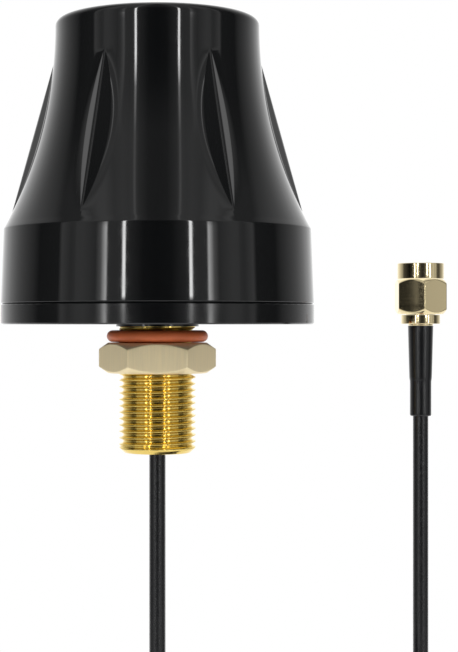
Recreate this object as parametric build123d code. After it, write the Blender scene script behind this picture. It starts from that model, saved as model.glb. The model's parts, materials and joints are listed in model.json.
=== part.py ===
from build123d import *
import os
from math import cos, hypot, pi, radians, sqrt, tan

os.makedirs("parts", exist_ok=True)

# Screw-mount GNSS antenna with a captive coaxial lead.  Millimetres, +Z towards the sky.
# The origin is the centre of the base's mounting face; the lead hangs below it.
# Heights are along Z, radii are from the antenna's axis or from the plug's axis.

# --- base and radome, outside ---
BASE_RADIUS = 24.5
BASE_HEIGHT = 3.15
SEAM_CHAMFER = 0.2
BAND_TOP = 14.8
BAND_TAPER = 0.45
SHOULDER_RISE = 0.6
SHOULDER_STEP = 0.35
NECK_RADIUS = 16.0
RADOME_TOP = 47.6
TOP_ROUND = 1.1
FLARE_SAG = 1.9
WALL = 2.0

# --- the six stiffening fins: one on each side, and a pair in front and behind, off the Y axis ---
FIN_OFF_AXIS = 28.6
FIN_ABOVE_BAND = 2.2
FIN_BELOW_TOP = 7.3
FIN_LOW_PROUD = 0.03
FIN_HIGH_PROUD = 0.1
FIN_FLAT = 0.3
FIN_SPREAD = 1.6
FIN_DEPTH = 2.4

# --- base, inside ---
BOSS_WALL = 0.5
BOSS_DROP = 0.35
RELIEF_WIDTH = 3.5
RELIEF_DEPTH = 0.6
SPIGOT_TOP = 7.0
SPIGOT_WALL = 2.0
SPIGOT_CLEARANCE = 0.1
SEAL_LOW = 4.6
SEAL_HEIGHT = 1.4
SEAL_DEPTH = 1.0
SEAL_CLEARANCE = 0.05
HUB_TOP = 4.9

# --- screws that close the case, and the bosses that they cut into ---
CASE_SCREW_COUNT = 4
CASE_SCREW_RADIUS = 1.1
CASE_SCREW_LENGTH = 8.0
CASE_HEAD_RADIUS = 1.9
CASE_HEAD_HEIGHT = 1.2
COUNTERBORE_CLEARANCE = 0.3
COUNTERBORE_DEPTH = 1.4
CASE_BOSS_WALL = 1.3
CASE_BOSS_TO_SPIGOT = 0.3
CASE_BOSS_BELOW_TOP = 7.6
SCREW_HOLE_SPARE = 1.0
DRIVE_SLOT_WIDTH = 0.5
DRIVE_SLOT_DEPTH = 0.6

# --- threaded stud, nut and sealing ring; the thread is M12 x 1 ---
THREAD_RADIUS = 6.0
THREAD_END = -19.3
STUD_END = -20.1
STUD_CHAMFER = 0.8
STUD_BORE_RADIUS = 3.4
STUD_NECK_DEPTH = 0.2
FLANGE_WIDTH = 3.0
FLANGE_LOW = 2.6
FLANGE_FLAT_CUT = 1.5
NUT_ACROSS_FLATS = 16.0
NUT_TOP = -2.9
NUT_HEIGHT = 4.74
NUT_CLEARANCE = 0.05
NUT_THREAD_CHAMFER = 0.45
NUT_FACE_STEP = 0.25
NUT_CHAMFER_ANGLE = 35.0
RING_SECTION = 1.85
RING_CLEARANCE = 0.1
RING_TO_NUT = 0.1
GROMMET_HEIGHT = 6.0
GROMMET_RECESS = 0.3

# --- circuit board and ceramic patch ---
BOARD_LOW = 9.0
BOARD_THICKNESS = 1.2
BOARD_TO_BORE = 0.9
BOARD_CLEARANCE = 0.3
POST_COUNT = 4
POST_INTO_SPIGOT = 0.6
POST_ANGLE = 22.5
POST_RADIUS = 2.2
BOARD_SCREW_RADIUS = 0.9
BOARD_SCREW_LENGTH = 5.0
BOARD_HEAD_RADIUS = 1.8
BOARD_HEAD_HEIGHT = 1.2
PAD_THICKNESS = 0.3
PATCH_SIDE = 25.0
PATCH_THICKNESS = 4.0
ELECTRODE_SIDE = 20.5
ELECTRODE_THICKNESS = 0.1
FEED_OFFSET = 2.8
FEED_RADIUS = 0.45
FEED_CLEARANCE = 0.05
FEED_HEAD_RADIUS = 1.1
FEED_HEAD_HEIGHT = 0.3
FEED_TAIL = 0.8
CAN_LENGTH = 11.0
CAN_WIDTH = 13.0
CAN_HEIGHT = 2.4
CAN_WALL = 0.2
CAN_CENTRE_X = -7.6

# --- coaxial lead ---
LEAD_DIAMETER = 2.55
BRAID_RADIUS = 0.95
DIELECTRIC_RADIUS = 0.75
CONDUCTOR_RADIUS = 0.25
LEAD_BEND = 5.0
LEAD_UNDER_BOARD = 0.05
JACKET_END_X = 8.0
BRAID_LENGTH = 2.6
DIELECTRIC_LENGTH = 1.0
CONDUCTOR_LENGTH = 1.4
SOLDER_SIDE = 2.4

# --- where the lead hangs: plug strand, and the tied coil between the strands ---
PLUG_X = 43.9
PLUG_Y = 16.0
COIL_CENTRE_Z = -85.0
COIL_ROWS = 5
COIL_AXIAL_EDGE = 0.9
COIL_CORNER_ROUND = 5.0
STRAND_IN_COIL = 6.0
SEAM_TURN = 50.0
TIE_COUNT = 2
TIE_THICKNESS = 1.0
TIE_WIDTH = 2.5
TIE_HEAD = 4.0

# --- SMA plug, heights along its own axis ---
PLUG_TOP = 10.1
COUPLING_HEX_TOP = 7.5
COUPLING_LOW = 1.63
COUPLING_COLLAR_RADIUS = 3.85
COUPLING_ACROSS_FLATS = 7.94
COUPLING_THREAD_RADIUS = 2.85
COUPLING_THREAD_LOW = 4.4
COUPLING_GAP = 0.1
COUPLING_LEAD_IN = 0.3
COUPLING_FACE_STEP = 0.22
COUPLING_CHAMFER_ANGLE = 45.0
PLUG_FLANGE_RADIUS = 3.22
PLUG_FLANGE_LOW = 0.03
PLUG_COLLAR_RADIUS = 2.06
PLUG_COLLAR_HEIGHT = 0.29
SHANK_RADIUS = 2.45
BARREL_RADIUS = 2.275
BARREL_LOW = 5.2
BARREL_TOP = 7.2
BARREL_CHAMFER = 0.1
BARREL_WALL = 0.225
INSULATOR_LOW = 1.6
INSULATOR_RECESS = 0.2
PIN_RADIUS = 0.46
PIN_TOP = 9.0
PIN_POINT = 0.5
PIN_POT_RADIUS = 0.7
PIN_POT_LOW = 0.5
PIN_CLEARANCE = 0.02
SNAP_LOW = 2.8
SNAP_HEIGHT = 0.6
SNAP_IN_SHANK = 0.33
SNAP_IN_NUT = 0.35
SNAP_CLEARANCE = 0.05
SNAP_GAP = 0.8
GASKET_LOW = 4.45
GASKET_HEIGHT = 0.7
GASKET_CLEARANCE = 0.02
CRIMP_POST_RADIUS = 1.05
CRIMP_POST_BORE = 0.78
CRIMP_POST_LENGTH = 6.8
CRIMP_BRAID_RADIUS = 1.35
FERRULE_WALL = 0.4
FERRULE_LENGTH = 8.3
SLEEVE_TOP_WALL = 0.34
SLEEVE_STEP_WALL = 0.11
SLEEVE_STEP = 8.75
SLEEVE_SLOPE = 0.5
SLEEVE_TAIL_WALL = 0.485
SLEEVE_LENGTH = 15.05
SLEEVE_END_ROUND = 0.3

# --- sizes that follow from those above ---
FIN_ANGLES = (0, 90 - FIN_OFF_AXIS, 90 + FIN_OFF_AXIS, 180, 270 - FIN_OFF_AXIS, 270 + FIN_OFF_AXIS)
BAND_TOP_RADIUS = BASE_RADIUS - BAND_TAPER
SHOULDER_RADIUS = BAND_TOP_RADIUS - SHOULDER_STEP
SHOULDER_HEIGHT = BAND_TOP + SHOULDER_RISE
NECK_TOP = RADOME_TOP - TOP_ROUND
BORE_RADIUS = SHOULDER_RADIUS - WALL
SPIGOT_RADIUS = BORE_RADIUS - SPIGOT_CLEARANCE
SPIGOT_INNER_RADIUS = SPIGOT_RADIUS - SPIGOT_WALL
BOSS_RADIUS = THREAD_RADIUS + BOSS_WALL
RELIEF_RADIUS = BOSS_RADIUS + RELIEF_WIDTH
CASE_BOSS_RADIUS = CASE_SCREW_RADIUS + CASE_BOSS_WALL
CASE_SCREW_CIRCLE = SPIGOT_INNER_RADIUS - CASE_BOSS_TO_SPIGOT - CASE_BOSS_RADIUS
COUNTERBORE_RADIUS = CASE_HEAD_RADIUS + COUNTERBORE_CLEARANCE
POST_CIRCLE = SPIGOT_INNER_RADIUS + POST_INTO_SPIGOT - POST_RADIUS
BOARD_RADIUS = BORE_RADIUS - BOARD_TO_BORE
STUD_NECK_RADIUS = THREAD_RADIUS - STUD_NECK_DEPTH
BOARD_TOP = BOARD_LOW + BOARD_THICKNESS
PATCH_LOW = BOARD_TOP + PAD_THICKNESS
PATCH_TOP = PATCH_LOW + PATCH_THICKNESS
ELECTRODE_TOP = PATCH_TOP + ELECTRODE_THICKNESS
NUT_LOW = NUT_TOP - NUT_HEIGHT
RING_CENTRE = NUT_TOP + RING_TO_NUT + RING_SECTION / 2
RING_RADIUS = THREAD_RADIUS + RING_CLEARANCE + RING_SECTION / 2
INSULATOR_RADIUS = BARREL_RADIUS - BARREL_WALL
SNAP_INNER_RADIUS = SHANK_RADIUS - SNAP_IN_SHANK
SNAP_OUTER_RADIUS = SHANK_RADIUS + COUPLING_GAP + SNAP_IN_NUT
FERRULE_RADIUS = CRIMP_BRAID_RADIUS + FERRULE_WALL
LEAD_RADIUS = LEAD_DIAMETER / 2
SLEEVE_TAIL_RADIUS = LEAD_RADIUS + SLEEVE_TAIL_WALL
LEAD_RUN_Z = BOARD_LOW - LEAD_UNDER_BOARD - LEAD_RADIUS
COIL_RADIUS = PLUG_X / 2
COIL_CENTRE_Y = PLUG_Y / 2
COIL_HALF_THICKNESS = COIL_ROWS * LEAD_DIAMETER / 2
COIL_HALF_WIDTH = PLUG_Y / 2 + COIL_AXIAL_EDGE
STRAND_END = COIL_CENTRE_Z + STRAND_IN_COIL
COLLAR_LOW = PLUG_FLANGE_LOW - PLUG_COLLAR_HEIGHT
JACKET_TOP = COLLAR_LOW - FERRULE_LENGTH - SLEEVE_SLOPE

AT_PLUG = Pos(PLUG_X, PLUG_Y, 0)
ON_FLOOR = (Align.CENTER, Align.CENTER, Align.MIN)
written = []


def save(name, shape):
    """Write one sub-part to its own STEP file."""
    shape.label = name
    export_step(shape, "parts/" + name + ".step")
    written.append((name, shape.volume))


def turned(*outline):
    """Solid of revolution about Z whose half section is a closed line of (radius, height) points."""
    return revolve(Plane.XZ * make_face(Polyline(*outline, close=True)), Axis.Z)


def rod(radius, low, high):
    """Cylinder on the Z axis between two heights."""
    return Pos(0, 0, low) * Cylinder(radius, high - low, align=ON_FLOOR)


def pipe(outer, inner, low, high):
    """Hollow cylinder on the Z axis between two heights."""
    return rod(outer, low, high) - rod(inner, low, high)


def block(length, width, low, high, x=0.0, y=0.0):
    """Rectangular block between two heights, centred at x, y."""
    return Pos(x, y, low) * Box(length, width, high - low, align=ON_FLOOR)


def hexagon(across_flats, low, high):
    """Hexagonal prism on the Z axis with a flat facing -Y."""
    outline = RegularPolygon(across_flats / 2, 6, major_radius=False)
    return extrude(Pos(0, 0, low) * outline, high - low)


def around(count, radius, first=0.0):
    """Places evenly spaced on a circle about Z, the first one at an angle in degrees from +X."""
    return PolarLocations(radius, count, first)


def chamfered_barrel(face_radius, corner_radius, low, high, angle):
    """Turned blank that rounds a hexagon's corners at both ends, by cones at an angle to its faces."""
    drop = (corner_radius - face_radius) * tan(radians(angle))
    return turned(
        (0, low), (face_radius, low), (corner_radius, low + drop),
        (corner_radius, high - drop), (face_radius, high), (0, high),
    )


def screw(head_radius, head_height, shank_radius, length):
    """Pan-head screw standing on its point side: head above z = 0, shank below, crossed drive."""
    body = rod(head_radius, 0, head_height) + rod(shank_radius, -length, 0)
    slot_low = head_height - DRIVE_SLOT_DEPTH
    for turn in (0, 90):
        slot = block(head_radius * 1.2, DRIVE_SLOT_WIDTH, slot_low, head_height)
        body -= Rot(0, 0, turn) * slot
    return body


# ---------------------------------------------------------------- radome

def flare_line(inset):
    """Concave line from the band's shoulder to the top edge, moved towards the axis by inset."""
    low = (SHOULDER_RADIUS - inset, SHOULDER_HEIGHT)
    high = (NECK_RADIUS - inset, NECK_TOP)
    return SagittaArc(low, high, FLARE_SAG)


def flare_radius(height):
    """Radius of the flare's outside: the arc's centre lies off the chord's middle, on the air side."""
    run = SHOULDER_RADIUS - NECK_RADIUS
    rise = NECK_TOP - SHOULDER_HEIGHT
    chord = hypot(run, rise)
    arc_radius = (chord ** 2 / 4 + FLARE_SAG ** 2) / (2 * FLARE_SAG)
    off_chord = arc_radius - FLARE_SAG
    centre_radius = (SHOULDER_RADIUS + NECK_RADIUS) / 2 + off_chord * rise / chord
    centre_height = (SHOULDER_HEIGHT + NECK_TOP) / 2 + off_chord * run / chord
    return centre_radius - sqrt(arc_radius ** 2 - (height - centre_height) ** 2)


def radome_block():
    """Outside of the radome as a solid, without its fins."""
    foot = Polyline(
        (0, BASE_HEIGHT), (BASE_RADIUS - SEAM_CHAMFER, BASE_HEIGHT),
        (BASE_RADIUS, BASE_HEIGHT + SEAM_CHAMFER), (BAND_TOP_RADIUS, BAND_TOP),
        (SHOULDER_RADIUS, SHOULDER_HEIGHT),
    )
    edge = RadiusArc((NECK_RADIUS, NECK_TOP), (NECK_RADIUS - TOP_ROUND, RADOME_TOP), -TOP_ROUND)
    top = Polyline((NECK_RADIUS - TOP_ROUND, RADOME_TOP), (0, RADOME_TOP), (0, BASE_HEIGHT))
    outline = [*foot.edges(), *flare_line(0).edges(), *edge.edges(), *top.edges()]
    return revolve(Plane.XZ * make_face(outline), Axis.Z)


def radome_cavity():
    """Air space under the radome: the spigot's bore, then a line one wall inside the flare."""
    foot = Polyline((0, BASE_HEIGHT), (BORE_RADIUS, BASE_HEIGHT), (BORE_RADIUS, SHOULDER_HEIGHT))
    ceiling = RADOME_TOP - WALL
    top = Polyline(
        (NECK_RADIUS - WALL, NECK_TOP), (NECK_RADIUS - WALL - TOP_ROUND, ceiling),
        (0, ceiling), (0, BASE_HEIGHT),
    )
    outline = [*foot.edges(), *flare_line(WALL).edges(), *top.edges()]
    return revolve(Plane.XZ * make_face(outline), Axis.Z)


def fin():
    """Prism under one fin's straight crest, with a flat top and sides that spread inwards."""
    low_z = BAND_TOP + FIN_ABOVE_BAND
    high_z = RADOME_TOP - FIN_BELOW_TOP
    low = Vector(flare_radius(low_z) + FIN_LOW_PROUD, 0, low_z)
    rise = Vector(flare_radius(high_z) + FIN_HIGH_PROUD, 0, high_z) - low
    outward = Vector(rise.Z, 0, -rise.X)
    section = Plane(origin=low, x_dir=outward, z_dir=rise)
    crest = FIN_FLAT / 2
    root = crest + FIN_SPREAD * FIN_DEPTH
    profile = Polyline((0, -crest), (0, crest), (-FIN_DEPTH, root), (-FIN_DEPTH, -root), close=True)
    return extrude(section * make_face(profile), rise.length)


def radome():
    """Bell-shaped cover with six fins outside and four screw bosses inside."""
    outside = radome_block()
    shell = outside
    for turn in FIN_ANGLES:
        shell += Rot(0, 0, turn) * fin()
    shell -= radome_cavity()
    boss = rod(CASE_BOSS_RADIUS, BASE_HEIGHT, RADOME_TOP - CASE_BOSS_BELOW_TOP)
    hole_top = CASE_SCREW_LENGTH + COUNTERBORE_DEPTH + SCREW_HOLE_SPARE
    hole = rod(CASE_SCREW_RADIUS, BASE_HEIGHT, hole_top)
    for place in around(CASE_SCREW_COUNT, CASE_SCREW_CIRCLE):
        shell += outside & (place * boss)
        shell -= place * hole
    return shell


# ---------------------------------------------------------------- base and stud

def stud_blank():
    """Threaded stud without its bore: flange, neck inside nut and ring, and the thread's outside."""
    neck_low = NUT_LOW - NUT_THREAD_CHAMFER
    barrel = turned(
        (0, HUB_TOP), (THREAD_RADIUS, HUB_TOP), (THREAD_RADIUS, -BOSS_DROP),
        (STUD_NECK_RADIUS, -BOSS_DROP), (STUD_NECK_RADIUS, neck_low), (THREAD_RADIUS, neck_low),
        (THREAD_RADIUS, THREAD_END), (THREAD_RADIUS - STUD_CHAMFER, STUD_END), (0, STUD_END),
    )
    flange_middle = (FLANGE_LOW + HUB_TOP) / 2
    flange_radius = THREAD_RADIUS + FLANGE_WIDTH
    flange = rod(flange_radius, FLANGE_LOW, flange_middle)
    across = 2 * (flange_radius - FLANGE_FLAT_CUT)
    flange &= block(across, 2 * flange_radius, FLANGE_LOW, flange_middle)
    return barrel + flange


def base_plate():
    """Floor moulded round the stud's flange, with a hub, a sealed spigot and board posts."""
    body = turned(
        (0, -BOSS_DROP), (BOSS_RADIUS, -BOSS_DROP), (BOSS_RADIUS, RELIEF_DEPTH),
        (RELIEF_RADIUS, RELIEF_DEPTH), (RELIEF_RADIUS, 0), (BASE_RADIUS - SEAM_CHAMFER, 0),
        (BASE_RADIUS, SEAM_CHAMFER), (BASE_RADIUS, BASE_HEIGHT - SEAM_CHAMFER),
        (BASE_RADIUS - SEAM_CHAMFER, BASE_HEIGHT), (0, BASE_HEIGHT),
    )
    body += rod(RELIEF_RADIUS, BASE_HEIGHT, HUB_TOP)
    body += pipe(SPIGOT_RADIUS, SPIGOT_INNER_RADIUS, BASE_HEIGHT, SPIGOT_TOP)
    body -= pipe(BASE_RADIUS, SPIGOT_RADIUS - SEAL_DEPTH, SEAL_LOW, SEAL_LOW + SEAL_HEIGHT)
    for place in around(POST_COUNT, POST_CIRCLE, POST_ANGLE):
        body += place * rod(POST_RADIUS, BASE_HEIGHT, BOARD_LOW)
        pilot_low = BOARD_TOP - BOARD_SCREW_LENGTH - SCREW_HOLE_SPARE
        body -= place * rod(BOARD_SCREW_RADIUS, pilot_low, BOARD_LOW)
    for place in around(CASE_SCREW_COUNT, CASE_SCREW_CIRCLE):
        body -= place * rod(COUNTERBORE_RADIUS, 0, COUNTERBORE_DEPTH)
        body -= place * rod(CASE_SCREW_RADIUS, COUNTERBORE_DEPTH, BASE_HEIGHT)
    return body - stud_blank()


def threaded_stud():
    """Hollow stud that carries the lead through the panel."""
    return stud_blank() - rod(STUD_BORE_RADIUS, STUD_END, HUB_TOP)


def base_seal():
    """Ring of square section in the spigot's groove, against the radome's bore."""
    inner = SPIGOT_RADIUS - SEAL_DEPTH + SEAL_CLEARANCE
    high = SEAL_LOW + SEAL_HEIGHT - SEAL_CLEARANCE
    return pipe(BORE_RADIUS, inner, SEAL_LOW + SEAL_CLEARANCE, high)


def case_screws():
    """Screws that hold the radome to the base, heads in the counterbores underneath."""
    one = Pos(0, 0, COUNTERBORE_DEPTH) * Rot(180, 0, 0) * screw(
        CASE_HEAD_RADIUS, CASE_HEAD_HEIGHT, CASE_SCREW_RADIUS, CASE_SCREW_LENGTH)
    return Compound([place * one for place in around(CASE_SCREW_COUNT, CASE_SCREW_CIRCLE)])


def hex_nut():
    """Chamfered hexagon nut with a flat facing -Y, clear of the thread by the nut's clearance."""
    corner = NUT_ACROSS_FLATS / 2 / cos(pi / 6)
    bore = THREAD_RADIUS + NUT_CLEARANCE
    nut = hexagon(NUT_ACROSS_FLATS, NUT_LOW, NUT_TOP)
    face = NUT_ACROSS_FLATS / 2 - NUT_FACE_STEP
    nut &= chamfered_barrel(face, corner, NUT_LOW, NUT_TOP, NUT_CHAMFER_ANGLE)
    nut -= rod(bore, NUT_LOW, NUT_TOP)
    cone = NUT_THREAD_CHAMFER
    nut -= turned((0, NUT_LOW), (bore + cone, NUT_LOW), (bore, NUT_LOW + cone), (0, NUT_LOW + cone))
    nut -= turned((0, NUT_TOP), (bore + cone, NUT_TOP), (bore, NUT_TOP - cone), (0, NUT_TOP - cone))
    return nut


def o_ring():
    """Round-section sealing ring that rides on top of the nut."""
    section = Pos(RING_RADIUS, RING_CENTRE) * Circle(RING_SECTION / 2)
    return revolve(Plane.XZ * section, Axis.Z)


def bore_grommet():
    """Rubber plug that closes the stud's lower end round the lead."""
    low = STUD_END + GROMMET_RECESS
    return pipe(STUD_BORE_RADIUS, LEAD_RADIUS, low, low + GROMMET_HEIGHT)


# ---------------------------------------------------------------- board and patch

def lna_board():
    """Round circuit board with holes for its screws, the case bosses and the feed pin."""
    board = rod(BOARD_RADIUS, BOARD_LOW, BOARD_TOP)
    for place in around(CASE_SCREW_COUNT, CASE_SCREW_CIRCLE):
        board -= place * rod(CASE_BOSS_RADIUS + BOARD_CLEARANCE, BOARD_LOW, BOARD_TOP)
    for place in around(POST_COUNT, POST_CIRCLE, POST_ANGLE):
        board -= place * rod(BOARD_SCREW_RADIUS + FEED_CLEARANCE, BOARD_LOW, BOARD_TOP)
    return board - feed_hole(BOARD_LOW, BOARD_TOP)


def feed_hole(low, high):
    """Hole for the feed pin between two heights."""
    return Pos(0, FEED_OFFSET) * rod(FEED_RADIUS + FEED_CLEARANCE, low, high)


def board_screws():
    """Screws that hold the board down on the base's posts."""
    one = Pos(0, 0, BOARD_TOP) * screw(
        BOARD_HEAD_RADIUS, BOARD_HEAD_HEIGHT, BOARD_SCREW_RADIUS, BOARD_SCREW_LENGTH)
    return Compound([place * one for place in around(POST_COUNT, POST_CIRCLE, POST_ANGLE)])


def adhesive_pad():
    """Double-sided pad between the board and the ceramic patch."""
    return block(PATCH_SIDE, PATCH_SIDE, BOARD_TOP, PATCH_LOW) - feed_hole(BOARD_TOP, PATCH_LOW)


def ceramic_patch():
    """Square ceramic block of the patch antenna."""
    return block(PATCH_SIDE, PATCH_SIDE, PATCH_LOW, PATCH_TOP) - feed_hole(PATCH_LOW, PATCH_TOP)


def patch_electrode():
    """Silver electrode on the ceramic, with two cut corners that set its polarisation."""
    plate = block(ELECTRODE_SIDE, ELECTRODE_SIDE, PATCH_TOP, ELECTRODE_TOP)
    cut = ELECTRODE_SIDE / 10
    for turn in (45, 225):
        far = ELECTRODE_SIDE / 2 * 2 ** 0.5
        plate -= Rot(0, 0, turn) * block(2 * cut, 4 * cut, PATCH_TOP, ELECTRODE_TOP, x=far)
    return plate - feed_hole(PATCH_TOP, ELECTRODE_TOP)


def feed_pin():
    """Pin from the electrode through the ceramic to the underside of the board."""
    pin = rod(FEED_RADIUS, BOARD_LOW - FEED_TAIL, ELECTRODE_TOP)
    pin += rod(FEED_HEAD_RADIUS, ELECTRODE_TOP, ELECTRODE_TOP + FEED_HEAD_HEIGHT)
    return Pos(0, FEED_OFFSET) * pin


def shield_can():
    """Tinned screening can under the board, open towards it."""
    low = BOARD_LOW - CAN_HEIGHT
    inner = (CAN_LENGTH - 2 * CAN_WALL, CAN_WIDTH - 2 * CAN_WALL)
    can = block(CAN_LENGTH, CAN_WIDTH, low, BOARD_LOW, x=CAN_CENTRE_X)
    return can - block(*inner, low + CAN_WALL, BOARD_LOW, x=CAN_CENTRE_X)


def under_board(length, width, height, *places):
    """Like chips soldered to the board's underside at x, y places."""
    low = BOARD_LOW - height
    return Compound([block(length, width, low, BOARD_LOW, x=x, y=y) for x, y in places])


def board_parts():
    """The chips: those inside the can are placed from its centre."""
    can_x = CAN_CENTRE_X
    save("amplifier_chips", under_board(2.0, 2.0, 0.8, (can_x + 2.4, 3.6), (can_x - 2.4, -3.6)))
    save("saw_filter", under_board(3.0, 3.0, 1.0, (can_x, 0)))
    save("chip_capacitors", under_board(
        1.0, 0.5, 0.5, (can_x - 2.6, 4.4), (can_x + 2.6, -4.4), (6.0, 6.4), (6.0, -6.4)))
    save("voltage_regulator", under_board(3.0, 1.6, 1.1, (6.0, 9.0)))
    save("bias_inductor", under_board(2.0, 1.25, 1.2, (6.0, -9.0)))


# ---------------------------------------------------------------- lead inside the antenna

def along_x(radius, start, length):
    """Round rod under the board along +X, in line with the lead's inner end."""
    return Pos(start, 0, LEAD_RUN_Z) * Rot(0, 90, 0) * rod(radius, 0, length)


def lead_inside():
    """Jacketed lead from the stud's lower end up the bore and along under the board."""
    path = FilletPolyline(
        (0, 0, STUD_END), (0, 0, LEAD_RUN_Z), (JACKET_END_X, 0, LEAD_RUN_Z), radius=LEAD_BEND)
    return sweep(Plane(path @ 0, z_dir=path % 0) * Circle(LEAD_RADIUS), path=path)


def inner_ends():
    """Stripped end under the board: braid, insulation and conductor, each further out."""
    braid_end = JACKET_END_X + BRAID_LENGTH
    insulation_end = braid_end + DIELECTRIC_LENGTH
    braid = along_x(BRAID_RADIUS, JACKET_END_X, BRAID_LENGTH)
    insulation = along_x(DIELECTRIC_RADIUS, braid_end, DIELECTRIC_LENGTH)
    wire = along_x(CONDUCTOR_RADIUS, insulation_end, CONDUCTOR_LENGTH)
    return braid, insulation, wire


def solder_joints():
    """Solder that ties the braid and the conductor to the board."""
    braid, _, wire = inner_ends()
    joints = []
    wire_x = JACKET_END_X + BRAID_LENGTH + DIELECTRIC_LENGTH + CONDUCTOR_LENGTH / 2
    low = LEAD_RUN_Z - CONDUCTOR_RADIUS / 2
    for x, length, core in ((JACKET_END_X + BRAID_LENGTH / 2, 1.6, braid), (wire_x, 1.0, wire)):
        joints.append(block(length, SOLDER_SIDE, low, BOARD_LOW, x=x) - core)
    return Compound(joints)


# ---------------------------------------------------------------- lead outside: strands and coil

def strand(x, y, high):
    """Straight hanging stretch of the lead down to its place in the coil."""
    return Pos(x, y) * rod(LEAD_RADIUS, STRAND_END, high)


def coil_band(spread, arc=360.0):
    """Band of rounded section turned round the coil's axis, larger than the coil by spread."""
    radial = COIL_HALF_THICKNESS + spread
    axial = COIL_HALF_WIDTH + spread
    outline = RectangleRounded(2 * radial, 2 * axial, COIL_CORNER_ROUND + spread)
    return revolve(Plane.XZ * Pos(COIL_RADIUS, 0) * outline, Axis.Z, arc)


AT_COIL = Pos(COIL_RADIUS, COIL_CENTRE_Y, COIL_CENTRE_Z) * Rot(90, 0, 0)


def lead_coil(strands):
    """Outer shape of the tied coil, with the grooves that both strands lie in."""
    coil = AT_COIL * Rot(0, 0, SEAM_TURN) * coil_band(0)
    for piece in strands:
        coil -= piece
    return coil


def coil_ties():
    """Nylon ties round the coil at its top and bottom, each with its locking head."""
    arc = 360 * TIE_WIDTH / (2 * pi * COIL_RADIUS)
    ties = []
    for index in range(TIE_COUNT):
        turn = 90 + 360 * index / TIE_COUNT
        band = coil_band(TIE_THICKNESS, arc) - coil_band(0, arc)
        head_x = COIL_RADIUS + COIL_HALF_THICKNESS + TIE_THICKNESS
        head = Box(TIE_HEAD / 2, TIE_HEAD, TIE_HEAD)
        head = Pos(head_x, 0, 0) * head - coil_band(TIE_THICKNESS / 2)
        ties.append(AT_COIL * Rot(0, 0, turn) * (Rot(0, 0, -arc / 2) * band + head))
    return Compound(ties)


# ---------------------------------------------------------------- plug

def plug_body():
    """Turned body: flange, shank through the coupling nut, contact barrel and crimp post."""
    snap_high = SNAP_LOW + SNAP_HEIGHT + SNAP_CLEARANCE
    groove = SNAP_INNER_RADIUS - SNAP_CLEARANCE
    body = turned(
        (0, COLLAR_LOW), (PLUG_COLLAR_RADIUS, COLLAR_LOW), (PLUG_COLLAR_RADIUS, PLUG_FLANGE_LOW),
        (PLUG_FLANGE_RADIUS, PLUG_FLANGE_LOW), (PLUG_FLANGE_RADIUS, COUPLING_LOW - COUPLING_GAP),
        (SHANK_RADIUS, COUPLING_LOW - COUPLING_GAP), (SHANK_RADIUS, SNAP_LOW - SNAP_CLEARANCE),
        (groove, SNAP_LOW - SNAP_CLEARANCE), (groove, snap_high), (SHANK_RADIUS, snap_high),
        (SHANK_RADIUS, BARREL_LOW), (BARREL_RADIUS, BARREL_LOW),
        (BARREL_RADIUS, BARREL_TOP - BARREL_CHAMFER),
        (BARREL_RADIUS - BARREL_CHAMFER, BARREL_TOP), (0, BARREL_TOP),
    )
    body += rod(CRIMP_POST_RADIUS, COLLAR_LOW - CRIMP_POST_LENGTH, COLLAR_LOW)
    body -= rod(INSULATOR_RADIUS, INSULATOR_LOW, BARREL_TOP)
    body -= rod(PIN_POT_RADIUS + PIN_CLEARANCE, PIN_POT_LOW, INSULATOR_LOW)
    return body - rod(CRIMP_POST_BORE, COLLAR_LOW - CRIMP_POST_LENGTH, PIN_POT_LOW)


def coupling_nut():
    """Plug's turning nut: a plain collar at the mating end and a hexagon with an edge facing -Y."""
    corner = COUPLING_ACROSS_FLATS / 2 / cos(pi / 6)
    hexed = Rot(0, 0, 30) * hexagon(COUPLING_ACROSS_FLATS, COUPLING_LOW, COUPLING_HEX_TOP)
    face = COUPLING_ACROSS_FLATS / 2 - COUPLING_FACE_STEP
    hexed &= chamfered_barrel(face, corner, COUPLING_LOW, COUPLING_HEX_TOP, COUPLING_CHAMFER_ANGLE)
    nut = hexed + rod(COUPLING_COLLAR_RADIUS, COUPLING_HEX_TOP, PLUG_TOP)
    nut -= rod(COUPLING_THREAD_RADIUS, COUPLING_THREAD_LOW, PLUG_TOP)
    nut -= rod(SHANK_RADIUS + COUPLING_GAP, COUPLING_LOW, COUPLING_THREAD_LOW)
    nut -= rod(SNAP_OUTER_RADIUS + COUPLING_GAP, SNAP_LOW - COUPLING_GAP,
               SNAP_LOW + SNAP_HEIGHT + COUPLING_GAP)
    mouth = COUPLING_THREAD_RADIUS + COUPLING_LEAD_IN
    return nut - turned(
        (0, PLUG_TOP), (mouth, PLUG_TOP), (COUPLING_THREAD_RADIUS, PLUG_TOP - COUPLING_LEAD_IN),
        (0, PLUG_TOP - COUPLING_LEAD_IN),
    )


def snap_ring():
    """Split ring that holds the coupling nut on the plug's shank."""
    ring = pipe(SNAP_OUTER_RADIUS, SNAP_INNER_RADIUS, SNAP_LOW, SNAP_LOW + SNAP_HEIGHT)
    return ring - block(SNAP_OUTER_RADIUS, SNAP_GAP, SNAP_LOW, SNAP_LOW + SNAP_HEIGHT,
                        x=SNAP_OUTER_RADIUS)


def plug_gasket():
    """Flat silicone ring round the shank's end, inside the coupling nut."""
    outer = COUPLING_THREAD_RADIUS - SNAP_CLEARANCE
    inner = SHANK_RADIUS + GASKET_CLEARANCE
    return pipe(outer, inner, GASKET_LOW, GASKET_LOW + GASKET_HEIGHT)


def plug_insulator():
    """White insulator that centres the pin in the barrel."""
    return pipe(INSULATOR_RADIUS, PIN_RADIUS, INSULATOR_LOW, BARREL_TOP - INSULATOR_RECESS)


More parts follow.
